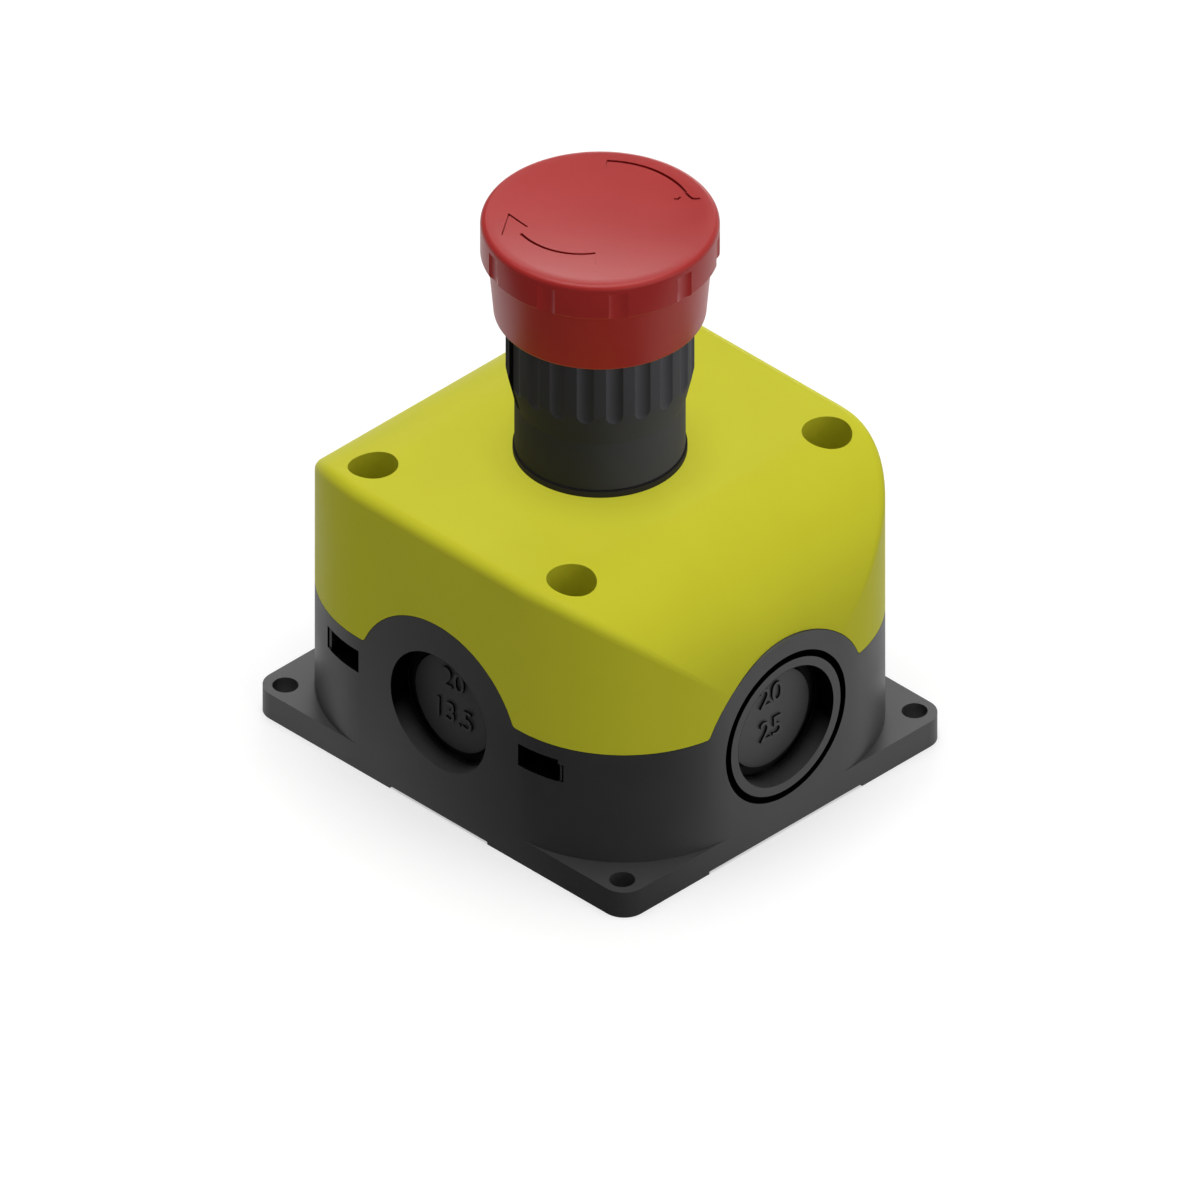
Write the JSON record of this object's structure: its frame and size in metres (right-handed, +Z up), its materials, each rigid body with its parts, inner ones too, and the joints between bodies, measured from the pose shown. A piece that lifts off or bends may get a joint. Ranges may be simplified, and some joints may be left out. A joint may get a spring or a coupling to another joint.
{
  "type": "emergency stop switch",
  "caption": "Surface-mounted emergency stop box: twist-to-release mushroom button on a fluted neck, vaulted cover over contact blocks, knock-out cable entries and corner ears.",
  "frame": {"origin": "middle of the footprint, on the surface that the enclosure stands on", "axes": "+Z up through the push button, X along the longer side, Y along the shorter side; the pictured sides are -Y and +X"},
  "size_m": [0.0876, 0.0762, 0.103],
  "materials": {
    "black_housing": "fine moulded texture",
    "yellow_cover": "smooth satin moulding",
    "red_cap": "smooth moulding",
    "black_neck": "satin moulding",
    "black_rubber": "matt",
    "stem_plastic": "smooth",
    "white_plastic": "smooth",
    "contact_plastic": "smooth",
    "steel": "zinc plated",
    "spring_steel": "drawn wire",
    "brass": "machined",
    "silver": "contact silver"
  },
  "bodies": {
    "enclosure": {"base_housing": "black_housing", "cover": "yellow_cover", "seam_gasket": "black_rubber", "cover_screws": "steel", "screw_inserts": "brass", "panel_gasket": "black_rubber", "collar": "black_neck", "lock_washer": "white_plastic", "ring_nut": "black_neck", "stem_seal": "black_rubber", "latch_ring": "spring_steel", "contact_carrier": "white_plastic", "carrier_screws": "steel", "return_spring": "spring_steel", "left_contact_housing": "contact_plastic", "left_front_terminal": "brass", "left_rear_terminal": "brass", "left_terminal_screws": "steel", "left_wire_clamps": "steel", "left_contact_spring": "spring_steel", "right_contact_housing": "contact_plastic", "right_front_terminal": "brass", "right_rear_terminal": "brass", "right_terminal_screws": "steel", "right_wire_clamps": "steel", "right_contact_spring": "spring_steel"},
    "stem": {"stem": "stem_plastic", "pusher": "white_plastic", "pusher_screw": "steel", "hub_clip": "spring_steel"},
    "head": {"push_cap": "red_cap", "cap_hub": "stem_plastic", "twist_spring": "spring_steel"},
    "left_contact": {"left_plunger": "white_plastic", "left_bridge": "brass", "left_contact_tips": "silver"},
    "right_contact": {"right_plunger": "white_plastic", "right_bridge": "brass", "right_contact_tips": "silver"},
    "left_latch_pin": {"latch_pin_left": "steel"},
    "right_latch_pin": {"latch_pin_right": "steel"}
  },
  "joints": [
    {"name": "button_press", "type": "slide", "parent": "enclosure", "child": "stem", "axis": [0, 0, -1], "range_m": [0, 0.005], "stiffness_N_per_m": 3000, "springref_m": -0.002, "deforming": ["return_spring"]},
    {"name": "head_twist", "type": "hinge", "parent": "stem", "child": "head", "pos_m": [0, 0, 0.09], "axis": [0, 0, 1], "range_deg": [-45, 0], "stiffness_Nm_per_rad": 0.05, "springref_deg": 5.73},
    {"name": "left_contact_travel", "type": "slide", "parent": "enclosure", "child": "left_contact", "axis": [0, 0, -1], "range_m": [0, 0.005], "deforming": ["left_contact_spring"]},
    {"name": "right_contact_travel", "type": "slide", "parent": "enclosure", "child": "right_contact", "axis": [0, 0, -1], "range_m": [0, 0.005], "deforming": ["right_contact_spring"]},
    {"name": "left_latch_travel", "type": "slide", "parent": "enclosure", "child": "left_latch_pin", "axis": [1, 0, 0], "range_m": [0, 0.001]},
    {"name": "right_latch_travel", "type": "slide", "parent": "enclosure", "child": "right_latch_pin", "axis": [-1, 0, 0], "range_m": [0, 0.001]}
  ],
  "couplings": [
    {"joint": "left_contact_travel", "follows": "button_press", "ratio": 1},
    {"joint": "right_contact_travel", "follows": "button_press", "ratio": 1},
    {"joint": "left_latch_travel", "follows": "button_press", "ratio": 0.2},
    {"joint": "right_latch_travel", "follows": "button_press", "ratio": 0.2}
  ]
}
